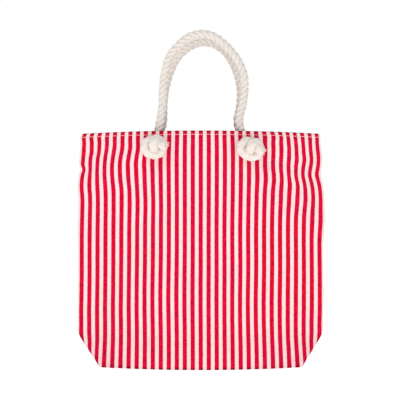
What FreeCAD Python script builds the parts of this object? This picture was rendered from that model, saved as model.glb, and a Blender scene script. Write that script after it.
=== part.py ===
"""Canvas tote bag with two knotted rope handles, standing open on its flat base.

Millimetres. +Z is up, -Y is the front, and the origin is on the floor under the middle of the bag.
"""
import FreeCAD, Part
import math
import os

V = FreeCAD.Vector

# ---- Bag body -------------------------------------------------------------
BASE_LENGTH = 324.0
BASE_DEPTH = 78.0
BODY_WIDTH = 397.0
HEIGHT = 382.0
CORNER_RISE = 55.0          # height at which the cut corner has run out to the full width
CORNER_SOFTNESS = 8.0       # rounding where the cut corner meets the straight side
SIDE_TAPER = 5.0            # how much each side leans in between the corner and the mouth
MOUTH_DRAW = 4.0            # how much further each side is drawn in at the hem
HEM_ZONE = 42.0             # height over which the mouth is drawn in
WAIST_HALF_DEPTH = 31.0
MOUTH_HALF_DEPTH = 47.0
WAIST_START = 70.0          # the base's depth has run down to the waist's at this height
FLARE_START = 120.0         # the walls begin to open towards the mouth at this height
FULLNESS = 2.4              # power of the bow across each face
CREASE_ROUND = 6.0          # rounding of the creases that run up from the base's corners
BOX_HEIGHT = 62.0           # the boxed corners' folds run out below this height
SIDE_DIP = 5.0              # the hem is this much lower at the side seams than at its middle
CLOTH = 1.0

# ---- Sewing ---------------------------------------------------------------
SEAM_ALLOWANCE = 8.5
SEAM_THICKNESS = 2.4
BASE_CLOTH = 1.5
BASE_INSET = 1.0            # the base's ends stop this far inside the panels' outer faces
SEAM_INSET = 3.4            # the allowances on the base lie this far inside the same faces
STRIP_THICKNESS = 1.6
STRIP_LIFT = 0.1
STRIP_ROUND = 2.0
BASE_ROUND = 6.0
PANEL_FOOT = 2.6            # the panels start just above the base
JOIN_GAP = 2.0
PANEL_GAP_LOW = 48.0        # distance along the cloth from the side seam to the panel, at the base
PANEL_GAP_HIGH = 9.0        # the same distance above the boxed corner
FOLD_TOP = 52.0             # top of the boxed corner's own folds

# ---- Eyelets --------------------------------------------------------------
EYELET_X = 72.0
EYELET_Z = 355.0
EYELET_BORE_RADIUS = 8.2
BARREL_RADIUS = 9.2
CLOTH_HOLE_RADIUS = 9.4
FLANGE_RADIUS = 12.0
FLANGE_THICKNESS = 1.0
FLANGE_STANDOFF = 0.4       # the cloth bows a little between the flanges
WASHER_STANDOFF = 0.7
LIP = 0.4

# ---- Rope -----------------------------------------------------------------
ROPE_DIAMETER = 14.0
ROPE_RADIUS = ROPE_DIAMETER / 2
ARC_SHARE = 0.45            # part of the shorter run that a bend's tangent may take
PIVOT_Y = 28.5              # the handles swing about this line, inside the mouth
PIVOT_Z = 398.0
HANDLE_START = 9.3          # the moving rope starts this far above the swing line
KNOT_BACK_Y = 46.3          # flat back of the knots, against the eyelets

# Points of each handle from its left foot to its right foot, seen from the front.
FRONT_HANDLE_ROUTE = [
    (-64.8, -28.5, 398.0), (-61.2, -26.5, 420.7), (-60.4, -24.1, 447.6), (-57.8, -21.7, 473.9),
    (-50.4, -19.3, 500.3), (-36.8, -17.8, 517.8), (-20.3, -16.5, 531.7), (0.0, -16.0, 537.5),
    (20.5, -16.4, 533.3), (39.5, -17.7, 518.9), (56.5, -19.5, 498.7), (67.8, -21.6, 474.4),
    (69.8, -24.1, 447.6), (65.8, -26.4, 421.2), (60.2, -28.5, 398.0),
]
BACK_HANDLE_ROUTE = [
    (-61.5, 28.5, 398.0), (-60.9, 26.5, 419.9), (-58.7, 24.1, 445.8), (-52.3, 21.6, 471.7),
    (-42.3, 19.4, 495.5), (-26.3, 17.7, 514.0), (-5.8, 16.7, 525.0), (13.5, 16.6, 525.9),
    (34.0, 17.5, 516.4), (50.0, 19.3, 497.0), (60.3, 21.5, 473.1), (64.8, 23.9, 447.3),
    (63.2, 26.4, 420.9), (59.0, 28.5, 398.0),
]
# From the knot through the eyelet and up to the swing line: offsets from the eyelet in X,
# distance from the bag's middle plane, and height.
LEG_BEND_Y = 34.5
LEG_RISE_Y = 24.5
LEG_RISE_Z = 365.0

# ---- Knots ----------------------------------------------------------------
# x, z of the middle, width, height, and turn about Y in degrees, seen from the front.
KNOT_LEFT = (-74.0, 356.0, 42.0, 38.0, 4.0)
KNOT_RIGHT = (80.0, 352.0, 44.0, 37.0, 14.0)
KNOT_DEPTH = 27.0
TAIL_RADIUS = 6.0
TAIL_REACH = 26.0

GRID_ROWS = 15
GRID_COLUMNS = 27
FOLD_COLUMNS = 18
WALL_STEPS = 12
ROUND_STEPS = 10
FACE_STEPS = 80


def ease(t):
    """Smooth step from 0 to 1."""
    t = min(max(t, 0.0), 1.0)
    return t * t * (3.0 - 2.0 * t)


def half_width(z):
    """Half the bag's width: the cut corner, the leaning side and the drawn-in mouth."""
    below = CORNER_RISE - z
    slope = (BODY_WIDTH - BASE_LENGTH) / 2 / CORNER_RISE
    corner = slope * (below + math.hypot(below, CORNER_SOFTNESS)) / 2
    lean = SIDE_TAPER * max(0.0, -below) / (HEIGHT - CORNER_RISE)
    mouth = MOUTH_DRAW * ease((z - HEIGHT + HEM_ZONE) / HEM_ZONE)
    return BODY_WIDTH / 2 - corner - lean - mouth


def half_depth(z):
    """Half the bag's depth at its middle."""
    foot = (BASE_DEPTH / 2 - WAIST_HALF_DEPTH) * (1.0 - ease(z / WAIST_START))
    flare = (MOUTH_HALF_DEPTH - WAIST_HALF_DEPTH) * ease((z - FLARE_START) / (HEIGHT - FLARE_START))
    return WAIST_HALF_DEPTH + foot + flare


def crease_depth(z):
    """Half the depth of the boxed corner's flat end: full at the base, run out above the rise."""
    below = CORNER_RISE - z
    return BASE_DEPTH / 2 / CORNER_RISE * (below + math.hypot(below, CORNER_SOFTNESS)) / 2


def quarter_section(z):
    """Front right quarter of the outline at height z, from the side seam to the middle.

    The flat end runs to the crease, and the front face bows from the crease to the middle.
    """
    width, crease, depth = half_width(z), crease_depth(z), half_depth(z)
    round_off = min(CREASE_ROUND, crease * 0.6)
    bow = depth - crease

    def face(x):
        return -crease - bow * (1.0 - (x / width) ** FULLNESS)

    wall_end = (width, round_off - crease)
    face_start = (width - round_off, face(width - round_off))
    points = [(width, wall_end[1] * i / WALL_STEPS) for i in range(WALL_STEPS)]
    for i in range(ROUND_STEPS):
        t = i / ROUND_STEPS
        x = (1 - t) ** 2 * wall_end[0] + 2 * t * (1 - t) * width + t * t * face_start[0]
        y = (1 - t) ** 2 * wall_end[1] - 2 * t * (1 - t) * crease + t * t * face_start[1]
        points.append((x, y))
    for i in range(FACE_STEPS + 1):
        x = face_start[0] * (1.0 - i / FACE_STEPS)
        points.append((x, face(x)))
    return points


def walk(points, distance):
    """Point and inward normal at a distance along the quarter outline; negative is past its middle."""
    for (x0, y0), (x1, y1) in zip(points, points[1:]):
        length = math.hypot(x1 - x0, y1 - y0)
        if distance <= length:
            share = distance / length
            inward = ((y1 - y0) / length, -(x1 - x0) / length)
            return x0 + (x1 - x0) * share, y0 + (y1 - y0) * share, inward
        distance -= length
    x, y = points[-1]
    return x, y, (0.0, 1.0)


def outline_length(points):
    return sum(math.dist(a, b) for a, b in zip(points, points[1:]))


def hem_dip(x, z):
    """How far the cloth is lowered towards the side seams, near the mouth only."""
    return SIDE_DIP * (x / half_width(z)) ** 2 * (z / HEIGHT) ** 4


def patch(rows):
    """Closed shell of cloth from rows of (outer point, inner point) pairs."""
    faces = []
    borders = []
    for side in (0, 1):
        grid = [[pair[side] for pair in row] for row in rows]
        surface = Part.BSplineSurface()
        surface.interpolate(grid)
        faces.append(surface.toShape())
        borders.append(surface.toShape().Edges)
    for outer_edge, inner_edge in zip(*borders):
        faces.append(Part.makeRuledSurface(outer_edge, inner_edge))
    shell = Part.Shell(Part.makeCompound(faces).Faces)
    shell.sewShape()
    solid = Part.Solid(shell)
    if solid.Volume < 0:
        solid.reverse()
    return solid


def cloth_pair(x, y, z, inward, mirror):
    """Outer and inner point of the cloth; mirror is -1 for the left half."""
    lowered = z - hem_dip(x, z)
    outer = V(mirror * x, y, lowered)
    inner = V(mirror * (x + inward[0] * CLOTH), y + inward[1] * CLOTH, lowered)
    return outer, inner


def panel_gap(z):
    return PANEL_GAP_LOW + (PANEL_GAP_HIGH - PANEL_GAP_LOW) * ease(z / BOX_HEIGHT)


def make_panel():
    """Front panel, from one side seam to the other, with its two eyelet holes."""
    rows = []
    for row in range(GRID_ROWS + 1):
        share = row / GRID_ROWS
        z = PANEL_FOOT + (HEIGHT - PANEL_FOOT) * share ** 1.3
        outline = quarter_section(z)
        middle = outline_length(outline)
        reach = middle - panel_gap(z)
        pairs = []
        for column in range(GRID_COLUMNS + 1):
            across = 2.0 * column / GRID_COLUMNS - 1.0
            x, y, inward = walk(outline, middle - abs(across) * reach)
            pairs.append(cloth_pair(x, y, z, inward, math.copysign(1.0, across)))
        rows.append(pairs)
    panel = patch(rows)
    for side in (-1, 1):
        x, y, normal = eyelet(side)
        drill = Part.makeCylinder(CLOTH_HOLE_RADIUS, 12.0, V(x, y, EYELET_Z) - normal * 6.0, normal)
        panel = panel.cut(drill)
    return panel


def make_corner_fold(side):
    """Boxed lower corner of the front panel, folded round to the side seam."""
    rows = []
    for row in range(GRID_ROWS + 1):
        z = PANEL_FOOT + (FOLD_TOP - PANEL_FOOT) * row / GRID_ROWS
        outline = quarter_section(z)
        near = SEAM_THICKNESS / 2 + 0.1 + 6.0 * ease(z / BOX_HEIGHT)
        far = panel_gap(z) - JOIN_GAP
        pairs = []
        for column in range(FOLD_COLUMNS + 1):
            distance = near + (far - near) * column / FOLD_COLUMNS
            x, y, inward = walk(outline, distance)
            pairs.append(cloth_pair(x, y, z, inward, side))
        rows.append(pairs)
    return patch(rows)


def make_side_seam(side):
    """Turned-in seam allowance that joins the panels, as a flat strip down the side."""
    foot = PANEL_FOOT + BASE_CLOTH
    heights = [foot + (HEIGHT - SIDE_DIP - foot) * i / 16 for i in range(17)]
    outer = [V(side * half_width(z), -SEAM_THICKNESS / 2, z) for z in heights]
    inner = [p - V(side * SEAM_ALLOWANCE, 0, 0) for p in outer]
    edges = []
    for line in (outer, inner):
        curve = Part.BSplineCurve()
        curve.interpolate(line)
        edges.append(curve.toShape())
    edges.append(Part.makeLine(outer[0], inner[0]))
    edges.append(Part.makeLine(outer[-1], inner[-1]))
    face = Part.Face(Part.Wire(Part.__sortEdges__(edges)))
    return face.extrude(V(0, SEAM_THICKNESS, 0))


def rounded_slab(length, depth, radius, thickness, centre):
    """Flat slab with round corners, its underside at the centre point's height."""
    box = Part.makeBox(length, depth, thickness, centre - V(length / 2, depth / 2, 0))
    upright = [e for e in box.Edges if abs(e.Vertexes[0].Z - e.Vertexes[1].Z) > thickness / 2]
    return box.makeFillet(radius, upright)


def make_base():
    length = BASE_LENGTH - 2 * BASE_INSET
    depth = BASE_DEPTH - BASE_INSET
    return rounded_slab(length, depth, BASE_ROUND, BASE_CLOTH, V(0, 0, 0))


def make_base_seam(face):
    """Overlocked allowance lying on the base along its long edge."""
    strip_y = face * (BASE_DEPTH / 2 - SEAM_INSET - SEAM_ALLOWANCE / 2)
    length = BASE_LENGTH - 2 * (SEAM_INSET + SEAM_ALLOWANCE)
    centre = V(0, strip_y, BASE_CLOTH + STRIP_LIFT)
    return rounded_slab(length, SEAM_ALLOWANCE, STRIP_ROUND, STRIP_THICKNESS, centre)


def make_corner_seam(side):
    """Short cross seam that boxes the corner, lying on the base's end."""
    depth = BASE_DEPTH - 2 * (SEAM_INSET + SEAM_ALLOWANCE) - BASE_INSET
    strip_x = side * (BASE_LENGTH / 2 - SEAM_INSET - SEAM_ALLOWANCE / 2)
    centre = V(strip_x, 0, BASE_CLOTH + STRIP_LIFT)
    return rounded_slab(SEAM_ALLOWANCE, depth, STRIP_ROUND, STRIP_THICKNESS, centre)


def eyelet(side):
    """Place of a front eyelet on the cloth's outer face, and its outward normal."""
    outline = quarter_section(EYELET_Z)
    total = outline_length(outline)
    low, high = 0.0, total
    for _ in range(40):
        middle = (low + high) / 2
        x, y, inward = walk(outline, middle)
        if x > EYELET_X:
            low = middle
        else:
            high = middle
    return side * x, y, V(-side * inward[0], -inward[1], 0)


def ring(outer, inner, start, length, place, normal):
    """Plain ring along the normal, from start to start + length off the cloth's face."""
    begin = place + normal * start
    return Part.makeCylinder(outer, length, begin, normal).cut(Part.makeCylinder(inner, length, begin, normal))


def make_grommet(side):
    """Eyelet's front half: flange outside, barrel through the cloth."""
    x, y, normal = eyelet(side)
    place = V(x, y, EYELET_Z)
    flange = ring(FLANGE_RADIUS, EYELET_BORE_RADIUS, FLANGE_STANDOFF, FLANGE_THICKNESS, place, normal)
    depth = CLOTH + FLANGE_STANDOFF + WASHER_STANDOFF + FLANGE_THICKNESS + LIP
    barrel = ring(BARREL_RADIUS, EYELET_BORE_RADIUS, FLANGE_STANDOFF - depth, depth, place, normal)
    return flange.fuse(barrel).removeSplitter()


def make_washer(side):
    """Eyelet's back half: a washer under the rolled end of the barrel."""
    x, y, normal = eyelet(side)
    start = -CLOTH - WASHER_STANDOFF - FLANGE_THICKNESS
    return ring(FLANGE_RADIUS, BARREL_RADIUS + 0.1, start, FLANGE_THICKNESS, V(x, y, EYELET_Z), normal)


def rope_path(route, label):
    """Straight runs joined by tangent arcs; prints the arcs' radii."""
    points = [V(*p) for p in route]
    edges = []
    radii = []
    start = points[0]
    for before, corner, after in zip(points, points[1:], points[2:]):
        into = (corner - before).normalize()
        out = (after - corner).normalize()
        turn = into.getAngle(out)
        tangent = ARC_SHARE * min((corner - before).Length, (after - corner).Length)
        radius = tangent / math.tan(turn / 2)
        radii.append(round(radius, 1))
        arc_start = corner - into * tangent
        arc_end = corner + out * tangent
        bisector = (out - into).normalize()
        arc_middle = corner + bisector * (radius / math.cos(turn / 2) - radius)
        edges.append(Part.LineSegment(start, arc_start).toShape())
        edges.append(Part.Arc(arc_start, arc_middle, arc_end).toShape())
        start = arc_end
    edges.append(Part.LineSegment(start, points[-1]).toShape())
    print(label, "bend radii", radii, "length", round(sum(e.Length for e in edges), 1))
    return Part.Wire(edges)


def rope_tube(route, label):
    path = rope_path(route, label)
    start = V(*route[0])
    heading = V(*route[1]) - start
    profile = Part.Wire(Part.makeCircle(ROPE_RADIUS, start, heading))
    tube = path.makePipeShell([profile], True, False)
    section = math.pi * ROPE_RADIUS ** 2
    print(label, "volume over section times length", round(tube.Volume / (section * path.Length), 4))
    return tube


def make_leg(face, side, foot):
    """Fixed stretch of rope: from the knot through the eyelet and up to the swing line."""
    x = side * EYELET_X
    top = V(*foot)
    route = [
        (x, face * KNOT_BACK_Y, EYELET_Z),
        (x, face * LEG_BEND_Y, EYELET_Z),
        (x + (top.x - x) * 0.2, face * LEG_RISE_Y, LEG_RISE_Z),
        tuple(top),
    ]
    tube = rope_tube(route, "leg at x %d y %d" % (x, face * PIVOT_Y))
    return tube.fuse(Part.makeSphere(ROPE_RADIUS, top)).removeSplitter()


def make_handle(route, label):
    """Moving arch of rope, cut square a little above the swing line at both feet."""
    first, second = V(*route[0]), V(*route[1])
    last, before_last = V(*route[-1]), V(*route[-2])
    begin = first + (second - first).normalize() * HANDLE_START
    end = last + (before_last - last).normalize() * HANDLE_START
    shortened = [tuple(begin)] + route[1:-1] + [tuple(end)]
    return rope_tube(shortened, label)


def make_knot(spec):
    """Overhand knot as a flattened ball with a flat back and a short cut tail."""
    x, z, width, height, turn = spec
    ball = Part.makeSphere(1.0)
    stretch = FreeCAD.Matrix()
    stretch.scale(V(width / 2, KNOT_DEPTH * 0.62, height / 2))
    ball = ball.transformGeometry(stretch)
    tail = Part.makeCylinder(TAIL_RADIUS, TAIL_REACH, V(0, 0, -4.0), V(1, 0, -0.15))
    knot = ball.fuse(tail)
    keep_front = Part.makeBox(120, 60, 120, V(-60, KNOT_DEPTH * 0.38 - 60, -60))
    knot = knot.common(keep_front)
    knot.rotate(V(0, 0, 0), V(0, 1, 0), turn)
    knot.translate(V(x, -KNOT_BACK_Y - KNOT_DEPTH * 0.38, z))
    return knot


def turned(shape):
    """The same piece on the back of the bag, turned half round."""
    copy = shape.copy()
    copy.rotate(V(0, 0, 0), V(0, 0, 1), 180.0)
    return copy


def build():
    nodes = {
        "base_panel": make_base(),
        "base_seam_front": make_base_seam(-1),
        "base_seam_back": make_base_seam(1),
        "corner_seam_left": make_corner_seam(-1),
        "corner_seam_right": make_corner_seam(1),
        "side_seam_left": make_side_seam(-1),
        "side_seam_right": make_side_seam(1),
    }
    fold_left, fold_right = make_corner_fold(-1), make_corner_fold(1)
    nodes["corner_fold_left"] = Part.makeCompound([fold_left, turned(fold_right)])
    nodes["corner_fold_right"] = Part.makeCompound([fold_right, turned(fold_left)])

    front = {
        "panel": make_panel(),
        "grommet_left": make_grommet(-1),
        "grommet_right": make_grommet(1),
        "washer_left": make_washer(-1),
        "washer_right": make_washer(1),
        "knot_left": make_knot(KNOT_LEFT),
        "knot_right": make_knot(KNOT_RIGHT),
    }
    opposite = {"left": "right", "right": "left"}
    for name, shape in front.items():
        nodes["front_" + name] = shape
        kind, _, side = name.partition("_")
        back_name = kind + "_" + opposite[side] if side else kind
        nodes["back_" + back_name] = turned(shape)

    routes = {"front": (-1, FRONT_HANDLE_ROUTE), "back": (1, BACK_HANDLE_ROUTE)}
    for name, (face, route) in routes.items():
        nodes[name + "_leg_left"] = make_leg(face, -1, route[0])
        nodes[name + "_leg_right"] = make_leg(face, 1, route[-1])
        nodes[name + "_handle"] = make_handle(route, name + " handle")
    return nodes


os.makedirs("parts", exist_ok=True)
for node, shape in build().items():
    print(node, "valid", shape.isValid(), "solids", len(shape.Solids), "volume", round(shape.Volume))
    shape.exportStep("parts/" + node + ".step")
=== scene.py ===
import math

import bmesh
import bpy
import numpy as np
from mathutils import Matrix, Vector


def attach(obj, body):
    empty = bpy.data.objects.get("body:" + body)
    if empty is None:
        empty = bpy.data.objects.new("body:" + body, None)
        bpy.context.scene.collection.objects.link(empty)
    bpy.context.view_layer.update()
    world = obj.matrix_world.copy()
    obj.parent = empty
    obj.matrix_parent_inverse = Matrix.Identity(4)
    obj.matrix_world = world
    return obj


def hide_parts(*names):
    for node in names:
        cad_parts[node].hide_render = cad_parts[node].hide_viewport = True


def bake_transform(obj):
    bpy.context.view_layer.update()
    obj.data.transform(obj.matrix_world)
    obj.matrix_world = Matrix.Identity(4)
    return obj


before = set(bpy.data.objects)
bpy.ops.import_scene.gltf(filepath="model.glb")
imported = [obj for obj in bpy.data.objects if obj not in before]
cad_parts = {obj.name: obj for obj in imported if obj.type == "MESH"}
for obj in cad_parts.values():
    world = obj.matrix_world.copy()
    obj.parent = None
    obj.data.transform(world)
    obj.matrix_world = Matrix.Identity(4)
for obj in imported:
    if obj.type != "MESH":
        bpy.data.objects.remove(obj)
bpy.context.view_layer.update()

scene = bpy.context.scene

# ---- Camera ----
# A level view of the front panel, from far enough back that the bag looks almost flat.
VIEW_DISTANCE = 4.0
VIEW_HEIGHT = 0.2715
VIEW_CENTRE = -0.0013
VIEW_WIDTH = 0.644          # what the camera takes in at the bag's middle plane


def placed(name, data):
    """Adds an object with this data to the scene, at the origin."""
    item = bpy.data.objects.new(name, data)
    scene.collection.objects.link(item)
    return item


camera_data = bpy.data.cameras.new("camera")
camera_data.sensor_fit = "HORIZONTAL"
camera_data.angle = 2 * math.atan(VIEW_WIDTH / 2 / VIEW_DISTANCE)
camera = placed("camera", camera_data)
camera.location = (VIEW_CENTRE, -VIEW_DISTANCE, VIEW_HEIGHT)
camera.rotation_euler = (math.pi / 2, 0, 0)
scene.camera = camera

# ---- Rope handles ----
# Two lengths of cream cotton rope, 14 mm thick, three strands laid to the right and each strand spun
# from many yarns. A rope comes in through its eyelet, goes up inside the panel and over in an arch.
ROPE_DIAMETER = 0.014
ROPE_LAY = 0.029            # length of one full turn of a strand
STRAND_COUNT = 3
STRAND_OFFSET = 0.53        # distance of a strand's middle from the rope's, as a share of its radius
STRAND_SWELL = 0.50         # radius of a strand, as a share of the rope's
YARN_COUNT = 11             # yarns that show around a strand
YARN_DEPTH = 0.06           # depth of the groove between two yarns, as a share of the strand's radius
YARN_TURNS = 20.0           # turns of the yarns in a strand, per metre, against the lay
ROPE_STEP = 0.0014          # length of the strands' facets

# Control points of each rope's line, from the back of its left knot to the back of its right one. The
# smooth line passes a little inside them, so along the arch they stand further out than the rope.
FRONT_ROUTE = [
    (-0.0720, -0.0463, 0.3550), (-0.0720, -0.0345, 0.3550), (-0.0706, -0.0245, 0.3650),
    (-0.0646, -0.0292, 0.3980), (-0.0608, -0.0263, 0.4195), (-0.0607, -0.0241, 0.4480),
    (-0.0584, -0.0217, 0.4736), (-0.0513, -0.0191, 0.5018), (-0.0370, -0.0178, 0.5180),
    (-0.0209, -0.0164, 0.5328), (0.0000, -0.0159, 0.5388), (0.0207, -0.0163, 0.5347),
    (0.0397, -0.0176, 0.5195), (0.0572, -0.0195, 0.4992), (0.0691, -0.0215, 0.4747),
    (0.0705, -0.0242, 0.4476), (0.0664, -0.0262, 0.4202), (0.0588, -0.0292, 0.3980),
    (0.0696, -0.0245, 0.3650), (0.0720, -0.0345, 0.3550), (0.0720, -0.0463, 0.3550),
]
BACK_ROUTE = [
    (-0.0720, 0.0463, 0.3550), (-0.0720, 0.0345, 0.3550), (-0.0699, 0.0245, 0.3650),
    (-0.0607, 0.0292, 0.3980), (-0.0613, 0.0263, 0.4188), (-0.0593, 0.0242, 0.4460),
    (-0.0527, 0.0216, 0.4719), (-0.0431, 0.0193, 0.4962), (-0.0270, 0.0176, 0.5149),
    (-0.0054, 0.0166, 0.5263), (0.0131, 0.0165, 0.5272), (0.0347, 0.0174, 0.5178),
    (0.0507, 0.0193, 0.4975), (0.0610, 0.0215, 0.4733), (0.0656, 0.0239, 0.4475),
    (0.0640, 0.0262, 0.4199), (0.0576, 0.0292, 0.3980), (0.0694, 0.0245, 0.3650),
    (0.0720, 0.0345, 0.3550), (0.0720, 0.0463, 0.3550),
]


def add_node(tree, kind, links=None, **settings):
    """Adds a node; links maps its inputs to sockets of other nodes or to plain values."""
    node = tree.nodes.new(kind)
    for key, value in settings.items():
        setattr(node, key, value)
    for key, value in (links or {}).items():
        if isinstance(value, bpy.types.NodeSocket):
            tree.links.new(value, node.inputs[key])
        else:
            node.inputs[key].default_value = value
    return node


def math_node(tree, operation, *values):
    """A Math node on sockets or numbers; returns its output."""
    return add_node(tree, "ShaderNodeMath", dict(enumerate(values)), operation=operation).outputs[0]


def mixed(tree, share, first, second):
    """A mix of two colours, each a socket or a value; returns its output."""
    mix = add_node(tree, "ShaderNodeMix", {"Factor": share, 6: first, 7: second}, data_type="RGBA")
    return mix.outputs[2]


def geometry_tree(name, sockets):
    """A Geometry Nodes tree with a geometry in and out and named inputs of the given kinds."""
    tree = bpy.data.node_groups.new(name, "GeometryNodeTree")
    tree.interface.new_socket("Geometry", in_out="INPUT", socket_type="NodeSocketGeometry")
    for label, kind in sockets.items():
        tree.interface.new_socket(label, in_out="INPUT", socket_type="NodeSocket" + kind)
    tree.interface.new_socket("Geometry", in_out="OUTPUT", socket_type="NodeSocketGeometry")
    return tree, tree.nodes.new("NodeGroupInput").outputs


def close_tree(tree, geometry, material):
    """Ends a tree: smooth faces, real geometry in place of instances, and its material."""
    smooth = add_node(tree, "GeometryNodeSetShadeSmooth", {"Geometry": geometry})
    real = add_node(tree, "GeometryNodeRealizeInstances", {"Geometry": smooth.outputs[0]})
    painted = add_node(tree, "GeometryNodeSetMaterial",
                       {"Geometry": real.outputs[0], "Material": material})
    add_node(tree, "NodeGroupOutput", {"Geometry": painted.outputs[0]})


def grown(source, tree, values, name):
    """Runs a tree on an object, keeps the result as a plain mesh piece and drops the source."""
    modifier = source.modifiers.new(name, "NODES")
    modifier.node_group = tree
    for item in tree.interface.items_tree:
        if item.in_out == "INPUT" and item.name in values:
            modifier[item.identifier] = values[item.name]
    depsgraph = bpy.context.evaluated_depsgraph_get()
    mesh = bpy.data.meshes.new_from_object(source.evaluated_get(depsgraph), depsgraph=depsgraph)
    source.modifiers.remove(modifier)
    bpy.data.objects.remove(source)
    return placed(name, mesh)


def rope_line(name, points):
    """An open curve of one smooth spline, with the rope's points as its control points."""
    data = bpy.data.curves.new(name, "CURVE")
    data.dimensions = "3D"
    spline = data.splines.new("NURBS")
    spline.points.add(len(points) - 1)
    for point, place in zip(spline.points, points):
        point.co = (*place, 1.0)
    spline.order_u = 3
    spline.use_endpoint_u = True
    spline.resolution_u = 16
    return placed(name, data)


def line_points(curve):
    """The points that a bare curve's smooth line runs through."""
    mesh = bpy.data.meshes.new_from_object(curve)
    points = [tuple(v.co) for v in mesh.vertices]
    bpy.data.meshes.remove(mesh)
    return points


def laid_rope_tree():
    """Strands that wind round a curve, each with a lobed section whose yarns wind the other way."""
    tree, given = geometry_tree("laid rope", {
        "Radius": "Float", "Lay": "Float", "Strands": "Int", "Offset": "Float", "Swell": "Float",
        "Yarns": "Int", "Yarn depth": "Float", "Yarn turns": "Float", "Step": "Float",
        "Material": "Material"})
    path = add_node(tree, "GeometryNodeResampleCurve",
                    {"Curve": given["Geometry"], "Length": given["Step"]}, mode="LENGTH")
    copies = add_node(tree, "GeometryNodeDuplicateElements",
                      {"Geometry": path.outputs[0], "Amount": given["Strands"]}, domain="SPLINE")
    along = add_node(tree, "GeometryNodeSplineParameter").outputs["Length"]
    winding = math_node(tree, "MULTIPLY", math_node(tree, "DIVIDE", along, given["Lay"]), math.tau)
    share = math_node(tree, "DIVIDE", copies.outputs["Duplicate Index"], given["Strands"])
    angle = math_node(tree, "ADD", winding, math_node(tree, "MULTIPLY", share, math.tau))
    reach = math_node(tree, "MULTIPLY", given["Radius"], given["Offset"])
    aside = add_node(tree, "ShaderNodeVectorMath", {
        0: add_node(tree, "GeometryNodeInputNormal").outputs[0], "Scale": reach}, operation="SCALE")
    turned = add_node(tree, "ShaderNodeVectorRotate", {
        "Vector": aside.outputs[0], "Angle": angle,
        "Axis": add_node(tree, "GeometryNodeInputTangent").outputs[0]}, rotation_type="AXIS_ANGLE")
    strands = add_node(tree, "GeometryNodeSetPosition",
                       {"Geometry": copies.outputs[0], "Offset": turned.outputs[0]})
    spin = math_node(tree, "MULTIPLY", math_node(tree, "MULTIPLY", along, given["Yarn turns"]), -math.tau)
    spun = add_node(tree, "GeometryNodeSetCurveTilt", {"Curve": strands.outputs[0], "Tilt": spin})
    marked = add_node(tree, "GeometryNodeStoreNamedAttribute",
                      {"Geometry": spun.outputs[0], "Name": "along", "Value": along}, domain="POINT")

    strand_radius = math_node(tree, "MULTIPLY", given["Radius"], given["Swell"])
    ring = add_node(tree, "GeometryNodeCurvePrimitiveCircle", {
        "Resolution": math_node(tree, "MULTIPLY", given["Yarns"], 4.0), "Radius": strand_radius})
    around = add_node(tree, "GeometryNodeSplineParameter").outputs["Factor"]
    wave = math_node(tree, "COSINE", math_node(tree, "MULTIPLY", around,
                     math_node(tree, "MULTIPLY", given["Yarns"], math.pi)))
    lobe = math_node(tree, "SUBTRACT", math_node(tree, "ABSOLUTE", wave), 1.0)
    scale = math_node(tree, "ADD", math_node(tree, "MULTIPLY", lobe, given["Yarn depth"]), 1.0)
    lobed = add_node(tree, "ShaderNodeVectorMath", {
        0: add_node(tree, "GeometryNodeInputPosition").outputs[0], "Scale": scale}, operation="SCALE")
    profile = add_node(tree, "GeometryNodeSetPosition",
                       {"Geometry": ring.outputs[0], "Position": lobed.outputs[0]})
    named = add_node(tree, "GeometryNodeStoreNamedAttribute",
                     {"Geometry": profile.outputs[0], "Name": "yarn", "Value": lobe}, domain="POINT")
    swept = add_node(tree, "GeometryNodeCurveToMesh", {
        "Curve": marked.outputs[0], "Profile Curve": named.outputs[0], "Fill Caps": True})
    close_tree(tree, swept.outputs[0], given["Material"])
    return tree


def new_material(name):
    """A node material; returns it, its tree and its surface shader."""
    material = bpy.data.materials.new(name)
    material.use_nodes = True
    return material, material.node_tree, material.node_tree.nodes["Principled BSDF"]


def cotton_rope_material():
    """Unbleached cotton: warm white with painted shade between the yarns, soft and slightly fuzzy."""
    material, tree, surface = new_material("cotton_rope")
    place = add_node(tree, "ShaderNodeTexCoord").outputs["Object"]
    mottle = add_node(tree, "ShaderNodeTexNoise", {"Vector": place, "Scale": 90.0, "Detail": 3.0})
    fuzz = add_node(tree, "ShaderNodeTexNoise", {"Vector": place, "Scale": 1500.0, "Detail": 4.0})
    tone = mixed(tree, mottle.outputs["Fac"], (0.78, 0.725, 0.675, 1), (0.87, 0.83, 0.80, 1))
    # Painted shade: the grooves between the yarns mix towards a darker brown.
    yarn = add_node(tree, "ShaderNodeAttribute", attribute_name="yarn").outputs["Fac"]
    groove = mixed(tree, math_node(tree, "MULTIPLY", yarn, -0.8), tone, (0.62, 0.54, 0.46, 1))
    tree.links.new(groove, surface.inputs["Base Color"])
    bump = add_node(tree, "ShaderNodeBump",
                    {"Height": fuzz.outputs["Fac"], "Strength": 0.25, "Distance": 0.0005})
    tree.links.new(bump.outputs[0], surface.inputs["Normal"])
    surface.inputs["Roughness"].default_value = 0.92
    surface.inputs["Specular IOR Level"].default_value = 0.25
    surface.inputs["Sheen Weight"].default_value = 0.25
    return material


rope_tree = laid_rope_tree()
rope_material = cotton_rope_material()
rope_sizes = {
    "Radius": ROPE_DIAMETER / 2, "Lay": ROPE_LAY, "Strands": STRAND_COUNT, "Offset": STRAND_OFFSET,
    "Swell": STRAND_SWELL, "Yarns": YARN_COUNT, "Yarn depth": YARN_DEPTH, "Yarn turns": YARN_TURNS,
    "Step": ROPE_STEP, "Material": rope_material}

ropes = {}
for face, route in (("front", FRONT_ROUTE), ("back", BACK_ROUTE)):
    curve = rope_line(face + "_rope_line", route)
    line_points(curve)
    ropes[face] = grown(curve, rope_tree, rope_sizes, face + "_rope")
    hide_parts(face + "_handle", face + "_leg_left", face + "_leg_right")
    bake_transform(ropes[face])

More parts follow.
